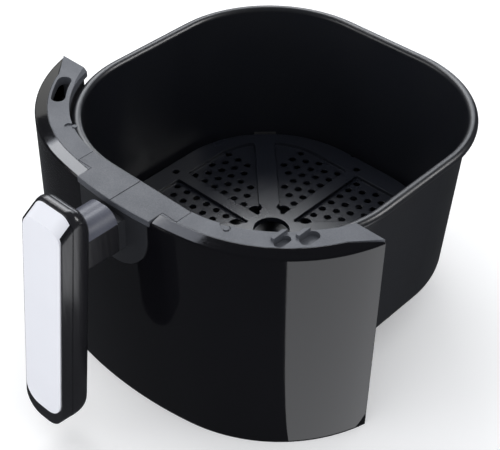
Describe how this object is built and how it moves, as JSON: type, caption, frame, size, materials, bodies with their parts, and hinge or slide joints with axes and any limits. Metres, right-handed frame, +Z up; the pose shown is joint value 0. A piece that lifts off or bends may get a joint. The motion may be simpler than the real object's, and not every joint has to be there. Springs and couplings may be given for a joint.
{
  "type": "air fryer drawer",
  "caption": "Air fryer drawer: coated rounded-square pan with a lift-out perforated tray, curved gloss front and an upright handle.",
  "frame": {"origin": "centre of the pan's flat underside", "axes": "+Z up, +Y towards the back of the drawer, the handle points to -Y, +X right seen from the handle"},
  "size_m": [0.2584, 0.308, 0.1641],
  "materials": {
    "coated_steel": "satin non-stick coating with a fine speckle",
    "gloss_black": "piano black",
    "matte_black": "fine moulded texture",
    "matte_grey": "matte, fine speckle",
    "dark_grey": "soft satin",
    "neck_grey": "soft satin",
    "silver_plate": "satin silver",
    "silicone": "matte silicone",
    "zinc_steel": "zinc plated"
  },
  "bodies": {
    "drawer": {"pan": "coated_steel", "front_shell": "gloss_black", "inner_liner": "matte_black", "bottom_cover": "matte_black", "top_bezel": "matte_grey", "bracket_cover": "matte_grey", "tongue_plate": "dark_grey", "handle_bracket": "zinc_steel", "pan_studs": "zinc_steel", "bracket_nuts": "zinc_steel", "side_brackets": "zinc_steel", "side_bracket_screws": "zinc_steel", "bezel_screws": "zinc_steel", "liner_screws": "zinc_steel", "bottom_screws": "zinc_steel", "tongue_screws": "zinc_steel", "neck_shell": "dark_grey", "neck_cover": "neck_grey", "grip_front_shell": "dark_grey", "grip_rear_shell": "dark_grey", "grip_faceplate": "silver_plate", "grip_screws": "zinc_steel", "handle_screw": "zinc_steel"},
    "tray": {"crisper_tray": "coated_steel", "tray_bumpers": "silicone"}
  },
  "joints": [
    {"name": "tray_lift", "type": "slide", "parent": "drawer", "child": "tray", "axis": [0, 0, 1], "range_m": [0, 0.13]}
  ]
}
